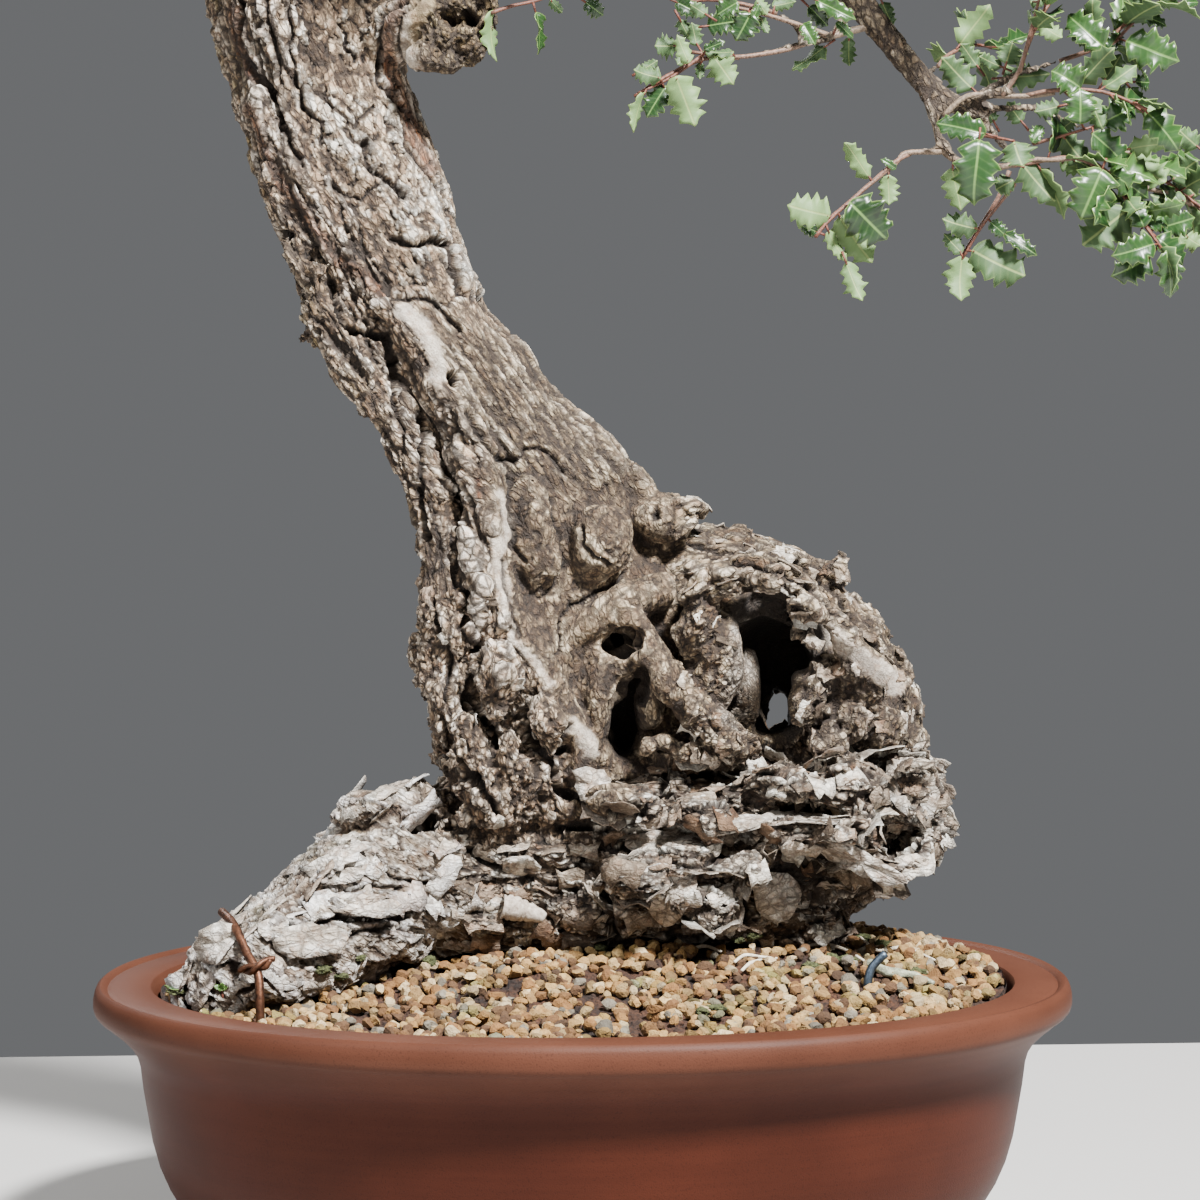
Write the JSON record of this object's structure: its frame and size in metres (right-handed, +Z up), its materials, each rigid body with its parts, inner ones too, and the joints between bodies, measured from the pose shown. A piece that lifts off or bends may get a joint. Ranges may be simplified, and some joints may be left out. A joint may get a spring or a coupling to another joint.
{
  "type": "portuguese oak bonsai",
  "caption": "Leaning old bonsai oak with a hollow base, a long surface root and drooping leafy branches, planted under a pumice dressing in an oval unglazed pot.",
  "frame": {"origin": "on the surface the pot stands on, under the middle of the whole part's bounding box", "axes": "+Z up along the trunk's height, -Y towards the front of the tree, +X to the right as seen from the front, along the pot's length"},
  "size_m": [0.6584, 0.4116, 0.8848],
  "materials": {
    "unglazed_clay": "matte unglazed stoneware",
    "potting_soil": "loose damp soil",
    "pumice": "dry matte grains",
    "oak_bark": "rough furrowed bark",
    "oak_foliage": "glossy leathery leaves on thin reddish twigs",
    "screen_plastic": "matte moulded",
    "tie_wire_brown": "oxidised copper-brown wire",
    "tie_wire_grey": "dull anodised wire"
  },
  "bodies": {
    "root": {"drain_screen_left": "screen_plastic", "drain_screen_right": "screen_plastic", "pot": "unglazed_clay", "pumice_dressing": "pumice", "soil": "potting_soil", "spray_01": "oak_foliage", "spray_02": "oak_foliage", "spray_03": "oak_foliage", "spray_04": "oak_foliage", "spray_05": "oak_foliage", "spray_06": "oak_foliage", "spray_07": "oak_foliage", "spray_08": "oak_foliage", "spray_09": "oak_foliage", "spray_10": "oak_foliage", "spray_11": "oak_foliage", "spray_12": "oak_foliage", "spray_13": "oak_foliage", "spray_14": "oak_foliage", "spray_15": "oak_foliage", "spray_16": "oak_foliage", "spray_17": "oak_foliage", "spray_18": "oak_foliage", "spray_19": "oak_foliage", "spray_20": "oak_foliage", "spray_21": "oak_foliage", "spray_22": "oak_foliage", "spray_23": "oak_foliage", "spray_24": "oak_foliage", "spray_25": "oak_foliage", "spray_26": "oak_foliage", "spray_27": "oak_foliage", "spray_28": "oak_foliage", "spray_29": "oak_foliage", "spray_30": "oak_foliage", "spray_31": "oak_foliage", "spray_32": "oak_foliage", "spray_33": "oak_foliage", "spray_34": "oak_foliage", "spray_35": "oak_foliage", "spray_36": "oak_foliage", "spray_37": "oak_foliage", "tie_wire_end": "tie_wire_grey", "tie_wire_root": "tie_wire_brown", "tree": "oak_bark"}
  },
  "joints": []
}
